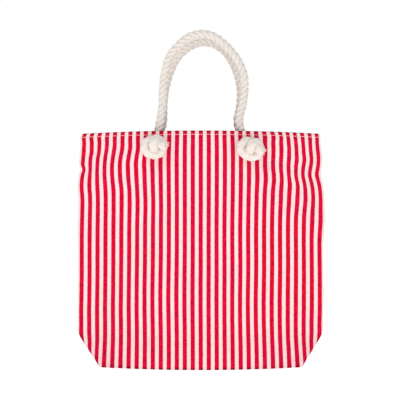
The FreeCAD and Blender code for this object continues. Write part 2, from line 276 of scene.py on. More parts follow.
# ---- Knots ----
# Each end of a rope is tied in an overhand knot outside its eyelet and pulled tight, so the knot sits
# flat on the canvas. The short tail comes out under the last turn, cut off and starting to fray.
KNOT_BACK = 0.0463          # distance of the knots' backs from the bag's middle plane
KNOT_ROPE_RADIUS = 0.0075   # the rope is squeezed flat and wide where it is tied
EYELET_X = 0.072
EYELET_HEIGHT = 0.355
TUFT_YARNS = 26
TUFT_LENGTH = 0.0065
YARN_RADIUS = 0.0006
# The left and right knot, seen from outside: x, height, turn in degrees, and stretch across and up.
KNOTS = {"left": (-0.0745, 0.3560, 2.0, 1.06, 0.97), "right": (0.0790, 0.3530, 20.0, 1.16, 0.95)}
# A tight coil that stands for the knot's hidden path: forwards from the eyelet, over the top, once round
# behind and out at the side. Each point is across, up and outwards from the knot's middle.
KNOT_ROUTE = [
    (0.0000, -0.0015, 0.0030), (0.0000, -0.0030, 0.0110), (-0.0005, 0.0005, 0.0178),
    (0.0000, 0.0070, 0.0195), (0.0025, 0.0122, 0.0145), (0.0068, 0.0120, 0.0085),
    (0.0120, 0.0060, 0.0072), (0.0122, -0.0040, 0.0074), (0.0070, -0.0110, 0.0078),
    (-0.0035, -0.0122, 0.0084), (-0.0112, -0.0075, 0.0090), (-0.0127, 0.0020, 0.0098),
    (-0.0085, 0.0094, 0.0105), (-0.0018, 0.0106, 0.0090), (0.0052, 0.0070, 0.0125),
    (0.0110, 0.0036, 0.0160), (0.0168, 0.0020, 0.0162),
]


def smooth_curve(name, points):
    """An open smooth curve through the points."""
    data = bpy.data.curves.new(name, "CURVE")
    data.dimensions = "3D"
    spline = data.splines.new("BEZIER")
    spline.bezier_points.add(len(points) - 1)
    for point, place in zip(spline.bezier_points, points):
        point.co = place
        point.handle_left_type = point.handle_right_type = "AUTO"
    data.resolution_u = 12
    return placed(name, data)


def knot_line(side, facing):
    """The knot's route in the bag's frame; facing is -1 on the front and 1 on the back."""
    x, z, turn, wide, high = KNOTS[side]
    sign = -1 if side == "left" else 1
    turn = math.radians(turn)
    points = [(sign * EYELET_X, EYELET_HEIGHT, depth) for depth in (-0.004, 0.003)]
    for along, up, depth in KNOT_ROUTE:
        along, up = along * wide, up * high
        points.append((x + along * math.cos(turn) + up * math.sin(turn),
                       z - along * math.sin(turn) + up * math.cos(turn), depth))
    return [(-facing * px, facing * (KNOT_BACK + depth), pz) for px, pz, depth in points]


def sweep(centres, radius, sides=6):
    """Vertices and faces of a thin tube along a few centres, closed at both ends."""
    centres = [Vector(c) for c in centres]
    vertices, faces = [], []
    for i, centre in enumerate(centres):
        ahead = centres[min(i + 1, len(centres) - 1)] - centres[max(i - 1, 0)]
        across = ahead.orthogonal().normalized()
        other = ahead.normalized().cross(across)
        for k in range(sides):
            a = math.tau * k / sides
            vertices.append(centre + (across * math.cos(a) + other * math.sin(a)) * radius)
        if i:
            low, high = (i - 1) * sides, i * sides
            faces += [(low + k, low + (k + 1) % sides, high + (k + 1) % sides, high + k)
                      for k in range(sides)]
    faces += [tuple(range(sides))[::-1], tuple(range(len(vertices) - sides, len(vertices)))]
    return vertices, faces


def mesh_piece(name, parts, material):
    """One mesh object from several lists of vertices and faces."""
    vertices, faces = [], []
    for points, polygons in parts:
        faces += [tuple(i + len(vertices) for i in polygon) for polygon in polygons]
        vertices += [tuple(p) for p in points]
    mesh = bpy.data.meshes.new(name)
    mesh.from_pydata(vertices, [], faces)
    mesh.materials.append(material)
    mesh.shade_smooth()
    return placed(name, mesh)


def joined(pieces, name):
    """Pieces joined into the first one, under a new name."""
    with bpy.context.temp_override(active_object=pieces[0], selected_editable_objects=pieces):
        bpy.ops.object.join()
    pieces[0].name = name
    return pieces[0]


def frayed_end(end, heading, seed):
    """Loose yarns fanning out of the cut end of a rope."""
    random = np.random.default_rng(seed)
    heading = heading.normalized()
    across = heading.orthogonal().normalized()
    other = heading.cross(across)
    parts = []
    for _ in range(TUFT_YARNS):
        angle, share = random.uniform(0, math.tau), math.sqrt(random.uniform(0, 1))
        out = across * math.cos(angle) + other * math.sin(angle)
        start = end - heading * 0.001 + out * KNOT_ROPE_RADIUS * 0.85 * share
        length = TUFT_LENGTH * random.uniform(0.45, 1.0)
        middle = start + heading * length * 0.55 + out * length * 0.10 * share
        tip = start + heading * length + out * length * random.uniform(0.1, 0.55) * share
        parts.append(sweep([start, middle, tip], YARN_RADIUS))
    return parts


knot_sizes = {**rope_sizes, "Radius": KNOT_ROPE_RADIUS, "Offset": 0.33, "Swell": 0.69, "Yarn depth": 0.05}
knots = {"front": [], "back": []}
for facing, face in ((-1, "front"), (1, "back")):
    for side in ("left", "right"):
        route = knot_line(side, facing)
        seen = side if facing < 0 else {"left": "right", "right": "left"}[side]
        name = face + "_knot_" + seen
        turns = grown(smooth_curve(name + "_line", route), rope_tree, knot_sizes, name + "_turns")
        end = Vector(route[-1])
        seed = len(name) + ord(side[0])
        tuft = mesh_piece(name + "_tuft", frayed_end(end, end - Vector(route[-2]), seed), rope_material)
        knot = joined([turns, tuft], name + "_rope")
        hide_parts(name)
        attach(knot, face)
        knots[face].append(knot)

# ---- Front and back panels ----
# Plain-woven cotton canvas with woven red and white stripes. Each panel is one cut of cloth, sewn to
# the other at the sides and to the base below, with its top edge turned in as a narrow hem.
BASE_LENGTH = 0.324
BASE_DEPTH = 0.078
BODY_WIDTH = 0.3995
BAG_HEIGHT = 0.382
CORNER_RISE = 0.055         # height of the boxed lower corners
CORNER_SOFTNESS = 0.008     # rounding where a cut corner meets the straight side
SIDE_LEAN = 0.005           # how much each side leans in between the corner and the mouth
MOUTH_DRAW = 0.004          # how much further each side is drawn in at the hem
HEM_ZONE = 0.042            # height over which the mouth is drawn in
WAIST_HALF_DEPTH = 0.031
WAIST_START = 0.070         # the base's depth has run down to the waist's at this height
MOUTH_HALF_DEPTH = 0.047
FLARE_START = 0.120         # the walls begin to open towards the mouth at this height
FULLNESS = 2.4              # power of the bow across each face
CREASE_ROUND = 0.006        # rounding of the creases that run up from the base's corners
FOOT_RISE = 0.0046          # how far the foot has curved up at the base's corners
RISE_TOP = 0.130            # the curve has run out at this height
HEM_DIP = 0.0040            # the hem is this much lower at the side seams than at its middle
PANEL_REACH = 0.201         # from the panel's middle line to its side seam, along the cloth
ALLOWANCE = 0.0085
SEAM_TURN = 0.0007          # radius of the cloth's turn into the side seam
HEM_DEPTH = 0.0095
CLOTH = 0.0009
EYELET_HOLE = 0.0105        # radius of the cut in the cloth, which the flanges cover
COLUMNS = 236
MIDDLE_HEIGHT = 0.190       # where the stripes lie at their own pitch
STRAIGHT_BELOW = 0.035      # below this height they keep it and run out at the cut corners
STRAIGHT_FADE = 0.080       # over this much more height they come to spread with the panel's width
FOOT_SPREAD = 1.002         # and there the pitch is this much wider
STRIPE_PITCH = 0.01272
STRIPE_SHARE = 0.545        # the red part of the pitch
STRIPE_COUNT = 31
WEAVE_PITCH = 0.0009

# Where the cloth has slid sideways and bulged since it was ironed: x, height, half-width, half-height,
# shift to the right and bulge outwards, all in millimetres and as seen from outside.
FRONT_RUCKS = [
    (-188, 372, 40, 7, -2.8, 0.6), (-108, 354, 40, 11, 1.4, 0.8), (-172, 348, 14, 7, 1.1, -0.8),
    (-188, 360, 14, 11, -1.1, 0.0), (-100, 330, 40, 11, -0.8, -0.6), (-196, 329, 13, 5, -0.8, 0.4),
    (-196, 320, 14, 6, 2.6, -0.8), (-140, 318, 40, 24, -2.2, 2.4), (-196, 294, 28, 16, -2.1, 1.6),
    (-124, 288, 20, 11, 0.7, -0.8), (-100, 264, 40, 24, 1.0, 0.8), (-200, 220, 40, 50, -0.9, 0.4),
    (116, 372, 20, 7, 1.9, 0.6), (180, 372, 20, 11, 1.5, 0.4), (132, 360, 40, 24, 2.6, 1.2),
    (164, 336, 20, 7, 1.3, -1.0), (188, 312, 28, 11, -3.0, 2.2), (116, 306, 28, 16, 2.2, 1.0),
    (148, 294, 14, 11, 1.7, -1.0), (172, 276, 40, 24, 3.1, 1.8), (196, 240, 20, 24, 2.5, 0.4),
    (80, 220, 60, 50, -0.9, 1.2), (100, 100, 60, 50, -1.7, 1.0), (200, 60, 60, 50, -1.4, 0.0),
    (-60, 120, 60, 50, -0.9, 1.4), (-60, 300, 60, 26, 0.0, 1.4), (20, 150, 90, 60, 0.0, 1.2),
]
BACK_RUCKS = [
    (-158, 350, 44, 15, 2.2, 1.4), (-150, 306, 46, 22, -2.8, 2.2), (-192, 322, 14, 9, 2.6, 0.8),
    (160, 322, 44, 18, -2.8, 2.0), (168, 276, 42, 24, 2.4, 1.2), (0, 180, 90, 60, 0.3, 1.8),
    (-100, 110, 60, 40, -0.5, 1.4), (110, 80, 60, 36, 0.6, 1.2),
]
# Shallow waves over a whole panel: radians per metre across and up, phase, and height.
RIPPLES = [(51.0, 15.0, 0.4, 0.00055), (87.0, -33.0, 2.1, 0.00035), (24.0, 57.0, 1.0, 0.00045)]


def ease(x):
    """Smooth step from 0 to 1."""
    x = min(max(x, 0.0), 1.0)
    return x * x * (3 - 2 * x)


def half_width(z):
    """Distance from the middle to the side seam at a height."""
    below = CORNER_RISE - z
    slope = (BODY_WIDTH - BASE_LENGTH) / 2 / CORNER_RISE
    corner = slope * (below + math.hypot(below, CORNER_SOFTNESS)) / 2
    lean = SIDE_LEAN * max(0.0, -below) / (BAG_HEIGHT - CORNER_RISE)
    return BODY_WIDTH / 2 - corner - lean - MOUTH_DRAW * ease((z - BAG_HEIGHT + HEM_ZONE) / HEM_ZONE)


def half_depth(z):
    """Distance from the middle plane to the fullest part of a panel at a height."""
    foot = (BASE_DEPTH / 2 - WAIST_HALF_DEPTH) * (1 - ease(z / WAIST_START))
    flare = ease((z - FLARE_START) / (BAG_HEIGHT - FLARE_START))
    return WAIST_HALF_DEPTH + foot + (MOUTH_HALF_DEPTH - WAIST_HALF_DEPTH) * flare


def crease_depth(z):
    """Depth of the flat side wall of a boxed corner, which runs out at its top."""
    below = CORNER_RISE - z
    return BASE_DEPTH / 2 / CORNER_RISE * (below + math.hypot(below, CORNER_SOFTNESS)) / 2


def section(z, inset):
    """Middle of a front panel's right half at a height, set in from its outer face: x and y arrays
    from the middle line to the side seam, and on along the allowance turned into the bag."""
    width, depth, crease = half_width(z), half_depth(z), crease_depth(z)
    soft = min(CREASE_ROUND, crease * 0.6)
    face_x = np.sin(np.linspace(0, math.pi / 2, 150)) * (width - soft)
    face_y = -crease - (depth - crease) * (1 - (face_x / width) ** FULLNESS)
    t = np.linspace(0, 1, 14)[1:]
    bend = [(1 - t) ** 2 * p + 2 * t * (1 - t) * q + t ** 2 * r for p, q, r in (
        (face_x[-1], width, width), (face_y[-1], -crease, -(crease - soft)))]
    wall = np.linspace(-(crease - soft), 0.0, 22)[1:]
    x = np.concatenate([face_x, bend[0], np.full(len(wall), width)])
    y = np.concatenate([face_y, bend[1], wall])
    slope = np.stack([np.gradient(x), np.gradient(y)])
    slope /= np.maximum(np.hypot(*slope), 1e-9)
    x, y = x - slope[1] * inset, y + slope[0] * inset
    x[0] = 0.0
    seam = -(inset + 0.0002)
    y = y + (seam - SEAM_TURN - 0.0001) * (x / x.max()) ** 24 * ease(z / CORNER_RISE)
    keep = y < seam - SEAM_TURN
    x, y = x[keep], y[keep]
    a = np.linspace(0, math.pi / 2, 6)[1:]
    turn_x, turn_y = x[-1] - SEAM_TURN, seam - SEAM_TURN
    x = np.concatenate([x, turn_x + SEAM_TURN * np.cos(a), [turn_x - ALLOWANCE]])
    y = np.concatenate([y, turn_y + SEAM_TURN * np.sin(a), [seam]])
    return x, y


def resampled(x, y, shares, straight=0.0, middle=0.0):
    """Points at shares of a line's length. With straight at 1 they keep the spacing they have on a line
    of the length middle, except near the far end, which takes up the difference."""
    length = np.concatenate([[0], np.cumsum(np.hypot(np.diff(x), np.diff(y)))])
    near = np.array([1 - ease((share - 0.74) / 0.18) for share in shares])
    at = shares * (length[-1] + (middle - length[-1]) * near * straight)
    return np.interp(at, length, x), np.interp(at, length, y)


def row_profile():
    """Rows of a panel as height, inset of the cloth's middle and distance along the cloth: up the
    allowance at the foot, round under the bag's edge, up the face, over the hem and down inside."""
    half = CLOTH / 2
    rows = [(z, half + 0.0024) for z in np.linspace(0.0085, 0.0030, 5)]
    rows += [(0.0016 - 0.0011 * math.sin(a), half + 0.0012 + 0.0012 * math.cos(a))
             for a in np.linspace(0, math.pi, 9)]
    rows += [(z, half) for z in np.linspace(0.0026, 0.340, 118)]
    rows += [(z, half) for z in np.linspace(0.3425, 0.3765, 15)]
    top = BAG_HEIGHT - 0.0012
    fold = 0.0010
    rows += [(top - 0.0028, half), (top - 0.0014, half)]
    rows += [(top + fold * math.sin(a), half + fold * (1 - math.cos(a)))
             for a in np.linspace(0, math.pi, 8)]
    rows += [(z, half + 2 * fold) for z in np.linspace(top - 0.0015, BAG_HEIGHT - HEM_DEPTH, 6)]
    z, inset = np.array(rows).T
    return z, inset, np.concatenate([[0], np.cumsum(np.hypot(np.diff(z), np.diff(inset)))])


def hem_dip(x, z):
    """How far the cloth hangs below its height, more towards the upper corners."""
    return HEM_DIP * (x / half_width(min(z, BAG_HEIGHT))) ** 2 * (z / BAG_HEIGHT) ** 4


def foot_rise(x, z):
    """How far the bag's foot curves up from the floor towards the lower corners."""
    return FOOT_RISE * (x / (BASE_LENGTH / 2)) ** 2 * np.clip(1 - z / RISE_TOP, 0, 1) ** 2


def swell(x, z, rucks):
    """Sideways slip and outward bulge of the cloth at points of a panel."""
    slip, out = np.zeros_like(x), np.zeros_like(x)
    for x0, z0, wide, high, shift, bulge in rucks:
        bump = np.exp(-((x * 1000 - x0) / wide) ** 2 - ((z * 1000 - z0) / high) ** 2) / 1000
        slip, out = slip + bump * shift, out + bump * bulge
    return slip, out


def seam_slip(x, z):
    """Sideways slip of a side seam, which both panels share, in the front panel's directions."""
    return swell(x, z, FRONT_RUCKS)[0]


def rucked(x, y, z, facing):
    """Points of a panel, seen from outside with -y outwards, after their slips, bulges and ripples. The
    side seam is held by both panels, so it keeps to the middle plane and takes the shared slip."""
    free = np.clip((-y - 0.0008) / 0.014, 0, 1)
    slip, out = swell(x, z, FRONT_RUCKS if facing < 0 else BACK_RUCKS)
    shared = -facing * seam_slip(-facing * x, z)
    for across, up, phase, height in RIPPLES:
        out = out + height * np.sin(across * x + up * z + phase)
    held = np.clip(z / 0.05, 0, 1) * free
    return x + slip * free + shared * (1 - free), y - out * held, z + foot_rise(x, z)


def panel_grid(facing, z, inset, shares):
    """Points of a panel by row and column, seen from outside, and their places across the flat cloth."""
    middle_line = section(MIDDLE_HEIGHT, CLOTH / 2)
    middle = np.hypot(np.diff(middle_line[0]), np.diff(middle_line[1])).sum() * FOOT_SPREAD
    grid = []
    for height, deep in zip(z, inset):
        straight = 1 - ease((height - STRAIGHT_BELOW) / STRAIGHT_FADE)
        x, y = resampled(*section(height, deep), shares, straight, middle)
        x, y = np.concatenate([-x[:0:-1], x]), np.concatenate([y[:0:-1], y])
        grid.append(np.stack(rucked(x, y, height - hem_dip(x, height), facing), axis=-1))
    flat = resampled(*middle_line, shares)[0]
    side = np.argmax(flat)
    flat[side:] = flat[side] + (shares[side:] - shares[side]) * (PANEL_REACH + ALLOWANCE)
    return np.array(grid), np.concatenate([-flat[:0:-1], flat])


def painted_shade_places(grid, z):
    """How strongly each point of a panel takes painted shade: on a crease or the foot's edge, and in the
    hem's folds.
    """
    edges = np.array([half_width(h) if h < CORNER_RISE else 1.0 for h in z])[:, None]
    creases = np.array([crease_depth(h) for h in z])[:, None]
    from_crease = np.hypot(edges - np.abs(grid[..., 0]), creases + grid[..., 1])
    on_crease = np.exp(-(np.maximum(from_crease - 0.0010, 0) / 0.0020) ** 2)
    on_foot = np.exp(-(np.maximum(z - 0.0008, 0)[:, None] / 0.0024) ** 2)
    drop = (BAG_HEIGHT - z)[:, None]
    in_hem = np.exp(-(drop / 0.0024) ** 2) + 0.7 * np.exp(-((drop - HEM_DEPTH) / 0.0014) ** 2)
    return np.maximum(on_crease, on_foot), in_hem * np.ones(grid.shape[1])


def panel(name, facing, material):
    """One panel, with its hem, foot and side allowances; facing is -1 on the front and 1 on the back."""
    z, inset, along = row_profile()
    grid, flat = panel_grid(facing, z, inset, np.linspace(0, 1, COLUMNS // 2 + 1))
    # Strengths of painted shade along the creases, the foot's edge and the hem's folds, kept as the seam
    # and hem attributes.
    seam, hem = painted_shade_places(grid, z)
    rows, columns = grid.shape[:2]
    holes = [Vector(eyelet_place(side)[0]) for side in (-1, 1)]
    faces = []
    for r in range(rows - 1):
        for c in range(columns - 1):
            centre = grid[r:r + 2, c:c + 2].reshape(4, 3).mean(axis=0)
            if min(math.dist(centre, hole) for hole in holes) >= EYELET_HOLE:
                a = r * columns + c
                faces.append((a, a + 1, a + columns + 1, a + columns))
    points = grid.reshape(-1, 3)
    if facing > 0:
        points = points * np.array([-1, -1, 1])
    mesh = bpy.data.meshes.new(name)
    mesh.from_pydata(points.tolist(), [], faces)
    for key, values in (("seam", seam), ("hem", hem)):
        marks = mesh.attributes.new(key, "FLOAT", "POINT")
        marks.data.foreach_set("value", values.ravel().astype(np.float32))
    uv = mesh.uv_layers.new(name="cloth")
    flat_grid = np.stack(np.broadcast_arrays(flat[None, :], along[:, None]), axis=-1).reshape(-1, 2)
    corners = np.empty(len(mesh.loops), dtype=np.int32)
    mesh.loops.foreach_get("vertex_index", corners)
    uv.data.foreach_set("uv", flat_grid[corners].ravel().astype(np.float32))
    mesh.materials.append(material)
    return thickened(placed(name, mesh), CLOTH), along[-1]


def thickened(piece, thickness):
    """Gives a sheet its thickness, half to each side, and makes the mesh final."""
    solid = piece.modifiers.new("thickness", "SOLIDIFY")
    solid.thickness = thickness
    solid.offset = 0.0
    solid.use_even_offset = False
    depsgraph = bpy.context.evaluated_depsgraph_get()
    mesh = bpy.data.meshes.new_from_object(
        piece.evaluated_get(depsgraph), preserve_all_data_layers=True, depsgraph=depsgraph)
    mesh.shade_smooth()
    piece.modifiers.remove(solid)
    piece.data = mesh
    return piece


def eyelet_place(side):
    """Place of a front eyelet on the panel's outer face and its outward normal, as tuples."""
    x, y = section(EYELET_HEIGHT, 0.0)
    i = int(np.argmax(x >= EYELET_X))
    slope = (y[i + 1] - y[i - 1]) / (x[i + 1] - x[i - 1])
    size = math.hypot(slope, 1)
    place_y = np.interp(EYELET_X, x[:i + 2], y[:i + 2])
    return (side * EYELET_X, place_y, EYELET_HEIGHT), (side * slope / size, -1 / size, 0)


def canvas_material():
    """Striped canvas from the flat cloth's coordinates: red and white warps, slubs, a weave and painted
    shade at creases, foot and hem.
    """
    material, tree, surface = new_material("striped_canvas")
    flat = add_node(tree, "ShaderNodeUVMap", uv_map="cloth").outputs[0]
    split = add_node(tree, "ShaderNodeSeparateXYZ", {0: flat}).outputs
    ragged = add_node(tree, "ShaderNodeTexNoise", {"Vector": flat, "Scale": 700.0, "Detail": 2.0})
    shift = math_node(tree, "MULTIPLY", math_node(tree, "SUBTRACT", ragged.outputs["Fac"], 0.5), 0.0007)
    repeats = math_node(tree, "DIVIDE", math_node(tree, "ADD", split[0], shift), STRIPE_PITCH)
    nearest = math_node(tree, "ROUND", repeats)
    from_middle = math_node(tree, "ABSOLUTE", math_node(tree, "SUBTRACT", repeats, nearest))
    stripe = add_node(tree, "ShaderNodeMapRange", {
        "Value": from_middle, "From Min": STRIPE_SHARE / 2 - 0.012, "From Max": STRIPE_SHARE / 2 + 0.012,
        "To Min": 1.0, "To Max": 0.0}).outputs[0]
    striped = STRIPE_PITCH * STRIPE_COUNT / 2
    inside = math_node(tree, "LESS_THAN", math_node(tree, "ABSOLUTE", split[0]), striped)
    red = math_node(tree, "MULTIPLY", stripe, inside)

    threads = []
    for drawn_out in ((1.0, 0.12, 1.0), (0.12, 1.0, 1.0)):
        along = add_node(tree, "ShaderNodeVectorMath", {0: flat, 1: drawn_out}, operation="MULTIPLY")
        slubs = add_node(tree, "ShaderNodeTexNoise",
                         {"Vector": along.outputs[0], "Scale": 900.0, "Detail": 2.0})
        threads.append(slubs.outputs["Fac"])
    grain = math_node(tree, "MULTIPLY", math_node(tree, "ADD", *threads), 0.5)
    shade = add_node(tree, "ShaderNodeMapRange",
                     {"Value": grain, "From Min": 0.32, "From Max": 0.62}).outputs[0]
    white_warp = mixed(tree, shade, (0.86, 0.61, 0.61, 1), (0.98, 0.785, 0.79, 1))
    red_warp = mixed(tree, shade, (0.30, 0.0, 0.010, 1), (0.92, 0.003, 0.050, 1))
    cloth = mixed(tree, red, white_warp, red_warp)
    # Painted shade: along the creases, the foot's edge and the hem's folds the red stripes darken to deep
    # maroon, the white ones a little.
    seam = add_node(tree, "ShaderNodeAttribute", attribute_name="seam").outputs["Fac"]
    hem = add_node(tree, "ShaderNodeAttribute", attribute_name="hem").outputs["Fac"]
    painted_shade = math_node(tree, "MULTIPLY_ADD", seam, 0.9, math_node(tree, "MULTIPLY", hem, 0.7))
    painted_shade = math_node(tree, "MULTIPLY", painted_shade, math_node(tree, "MULTIPLY_ADD", red, 0.88, 0.12))
    tree.links.new(mixed(tree, painted_shade, cloth, (0.14, 0.002, 0.012, 1)), surface.inputs["Base Color"])

    warp = math_node(tree, "SINE", math_node(tree, "MULTIPLY", split[0], math.tau / WEAVE_PITCH))
    weft = math_node(tree, "SINE", math_node(tree, "MULTIPLY", split[1], math.tau / WEAVE_PITCH))
    crossings = math_node(tree, "MULTIPLY", warp, weft)
    weave = math_node(tree, "ADD", crossings, math_node(tree, "MULTIPLY", grain, 1.5))
    bump = add_node(tree, "ShaderNodeBump", {"Height": weave, "Strength": 0.45, "Distance": 0.00025})
    tree.links.new(bump.outputs[0], surface.inputs["Normal"])
    surface.inputs["Roughness"].default_value = 0.9
    surface.inputs["Specular IOR Level"].default_value = 0.08
    return material


canvas = canvas_material()
panels = {}
for face, facing in (("front", -1), ("back", 1)):
    panels[face], panel_length = panel(face + "_canvas", facing, canvas)
    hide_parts(face + "_panel", "corner_fold_left", "corner_fold_right")
    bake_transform(panels[face])

# ---- Base panel ----
# A rectangle of the same canvas that closes the bag below. Its four edges are turned up inside and
# sewn to the feet of the panels.
BASE_LEVEL = 0.0012
BASE_GAP = 0.0041           # from the bag's outer face to the base's upturned edge
BASE_TURN = 0.0014          # radius of the cloth's turn up to that edge


def loop_line(z, inset, steps=64):
    """Closed line round the whole bag at a height, set in from its outer face."""
    x, y = section(z, inset)
    outer = y < -(inset + 0.0012)
    x, y = resampled(x[outer], y[outer], np.linspace(0, 1, steps))
    front = np.stack([np.concatenate([-x[:0:-1], x]), np.concatenate([y[:0:-1], y])], axis=-1)
    return np.concatenate([front, -front])


def base_sheet(material):
    """The base: rings of cloth from its middle out to its edges, round and up."""
    rim = loop_line(0.0, BASE_GAP)
    spine = np.stack([np.clip(rim[:, 0], -0.125, 0.125), np.zeros(len(rim))], axis=-1)
    rings = [(spine + (rim - spine) * share, BASE_LEVEL) for share in np.linspace(0.0, 0.955, 16)]
    for a in np.linspace(0.2, math.pi / 2, 5):
        line = loop_line(0.0, BASE_GAP + BASE_TURN * (1 - math.sin(a)))
        rings.append((line, BASE_LEVEL + BASE_TURN * (1 - math.cos(a))))
    rings += [(loop_line(z, BASE_GAP), z) for z in np.linspace(0.0034, 0.0082, 4)]
    points = []
    for ring, z in rings:
        points += [(x, y, z + foot_rise(x, z)) for x, y in ring]
    count = len(rim)
    faces = []
    for r in range(len(rings) - 1):
        low, high = r * count, (r + 1) * count
        faces += [(low + c, high + c, high + (c + 1) % count, low + (c + 1) % count) for c in range(count)]
    mesh = bpy.data.meshes.new("base_canvas")
    mesh.from_pydata(points, [], faces)
    uv = mesh.uv_layers.new(name="cloth")
    for loop, corner in zip(mesh.loops, uv.data):
        x, y, z = points[loop.vertex_index]
        corner.uv = (x, y + math.copysign(z, y))
    work = bmesh.new()
    work.from_mesh(mesh)
    bmesh.ops.remove_doubles(work, verts=work.verts, dist=0.00005)
    bmesh.ops.recalc_face_normals(work, faces=work.faces)
    work.to_mesh(mesh)
    work.free()
    mesh.materials.append(material)
    return placed("base_canvas", mesh)


base = thickened(base_sheet(canvas), CLOTH)
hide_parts("base_panel")
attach(base, "base")

# ---- Hem stitching ----
# A single row of off-white cotton topstitching, about ten stitches to 35 mm, along the foot of each
# hem. Every stitch is a short raised length of thread that dips into the cloth at both ends.
STITCH_PITCH = 0.0034
STITCH_LENGTH = 0.0030
THREAD_RADIUS = 0.00042
STITCH_HEIGHT = 0.3760
SEAM_CLEARANCE = 0.004      # the row stops this far from the side seams


def thread_material():
    """Cotton sewing thread, off-white with a blush of the red cloth."""
    material, tree, surface = new_material("sewing_thread")
    place = add_node(tree, "ShaderNodeTexCoord").outputs["Object"]
    twist = add_node(tree, "ShaderNodeTexNoise", {"Vector": place, "Scale": 1200.0})
    tone = mixed(tree, twist.outputs["Fac"], (0.86, 0.58, 0.60, 1), (0.97, 0.82, 0.83, 1))
    tree.links.new(tone, surface.inputs["Base Color"])
    surface.inputs["Roughness"].default_value = 0.8
    return material


def stitch_tree():
    """Short rounded stitches placed along a line at an even pitch."""
    tree, given = geometry_tree("stitches", {
        "Pitch": "Float", "Length": "Float", "Radius": "Float", "Material": "Material"})
    path = add_node(tree, "GeometryNodeResampleCurve",
                    {"Curve": given["Geometry"], "Length": given["Pitch"]}, mode="LENGTH")
    ball = add_node(tree, "GeometryNodeMeshUVSphere", {"Segments": 8, "Rings": 6, "Radius": 1.0})
    size = add_node(tree, "ShaderNodeCombineXYZ", {
        "X": given["Radius"], "Y": given["Radius"], "Z": math_node(tree, "MULTIPLY", given["Length"], 0.5)})
    stitch = add_node(tree, "GeometryNodeTransform",
                      {"Geometry": ball.outputs[0], "Scale": size.outputs[0]})
    heading = add_node(tree, "FunctionNodeAlignRotationToVector", {
        "Vector": add_node(tree, "GeometryNodeInputTangent").outputs[0]}, axis="Z")
    points = add_node(tree, "GeometryNodeInstanceOnPoints", {
        "Points": path.outputs[0], "Instance": stitch.outputs[0], "Rotation": heading.outputs[0]})
    close_tree(tree, points.outputs[0], given["Material"])
    return tree


def sewing_line(name, facing, inset):
    """The row of stitching at the foot of a hem, just proud of the outer or the inner face."""
    reach = (PANEL_REACH - SEAM_CLEARANCE) / (PANEL_REACH + ALLOWANCE)
    x, y = resampled(*section(STITCH_HEIGHT, inset), np.linspace(0, reach, 90))
    x, y = np.concatenate([-x[:0:-1], x]), np.concatenate([y[:0:-1], y])
    x, y, z = rucked(x, y, STITCH_HEIGHT - hem_dip(x, STITCH_HEIGHT), facing)
    return smooth_curve(name, [(-facing * px, -facing * py, pz) for px, py, pz in zip(x, y, z)])


thread = thread_material()
stitches = stitch_tree()
stitch_sizes = {"Pitch": STITCH_PITCH, "Length": STITCH_LENGTH, "Radius": THREAD_RADIUS, "Material": thread}
for face, facing in (("front", -1), ("back", 1)):
    for layer, inset in (("outside", -0.0003), ("inside", 0.0031)):
        line = sewing_line(face + "_" + layer, facing, inset)
        row = grown(line, stitches, stitch_sizes, face + "_hem_stitches_" + layer)
        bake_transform(row)

# ---- Seam allowances ----
# The raw edges inside the side, base and corner seams are overlocked together: a loose thread winds
# round both layers of cloth. The straight row of stitches that holds the seam itself is not drawn.
OVERLOCK_PITCH = 0.0022
SEAM_MIDDLE = 0.0058        # from the side seam to the middle of its allowance
SEAM_DIP = 0.0036           # the seam's top end hangs this much lower with the hem
FOOT_SEAM_HEIGHT = 0.0060   # middle of the allowances along the foot
FOOT_SEAM_INSET = 0.0035    # and their distance in from the bag's outer face


def overlock_tree():
    """A thread wound along a line in flat loops, whose two half-sizes are given as vectors."""
    tree, given = geometry_tree("overlock", {
        "Pitch": "Float", "Across": "Vector", "Through": "Vector", "Radius": "Float",
        "Material": "Material"})
    step = math_node(tree, "DIVIDE", given["Pitch"], 14.0)
    path = add_node(tree, "GeometryNodeResampleCurve",
                    {"Curve": given["Geometry"], "Length": step}, mode="LENGTH")
    along = add_node(tree, "GeometryNodeSplineParameter").outputs["Length"]
    angle = math_node(tree, "MULTIPLY", math_node(tree, "DIVIDE", along, given["Pitch"]), math.tau)
    across = add_node(tree, "ShaderNodeVectorMath", {
        0: given["Across"], "Scale": math_node(tree, "COSINE", angle)}, operation="SCALE")
    through = add_node(tree, "ShaderNodeVectorMath", {
        0: given["Through"], "Scale": math_node(tree, "SINE", angle)}, operation="SCALE")
    aside = add_node(tree, "ShaderNodeVectorMath", {0: across.outputs[0], 1: through.outputs[0]},
                     operation="ADD")
    wound = add_node(tree, "GeometryNodeSetPosition",
                     {"Geometry": path.outputs[0], "Offset": aside.outputs[0]})
    ring = add_node(tree, "GeometryNodeCurvePrimitiveCircle", {"Resolution": 5, "Radius": given["Radius"]})
    swept = add_node(tree, "GeometryNodeCurveToMesh", {
        "Curve": wound.outputs[0], "Profile Curve": ring.outputs[0], "Fill Caps": True})
    close_tree(tree, swept.outputs[0], given["Material"])
    return tree


def side_line(side):
    """Middle of a side seam's allowance, from the boxed corner up to the hem; side is -1 on the left."""
    points = []
    for z in np.linspace(0.062, 0.3785, 60):
        edge = side * half_width(z)
        x = edge - side * SEAM_MIDDLE + float(seam_slip(np.array(edge), z))
        points.append((x, 0.0, z - SEAM_DIP * (z / BAG_HEIGHT) ** 4))
    return points


def foot_lines():
    """Middles of the front base seam's and the right corner seam's allowances, from end to end."""
    height = FOOT_SEAM_HEIGHT
    loop = [(x, y, height + foot_rise(x, height)) for x, y in loop_line(height, FOOT_SEAM_INSET, 100)]
    front = [point for point in loop if point[1] < 0 and abs(point[0]) < 0.136][::3]
    corner = sorted((point for point in loop if point[0] > 0.150 and abs(point[1]) < 0.029),
                    key=lambda point: point[1])
    return front, corner


overlock = overlock_tree()
front_foot, right_foot = foot_lines()
back_foot = [(-x, -y, z) for x, y, z in front_foot]
left_foot = [(-x, y, z) for x, y, z in right_foot]
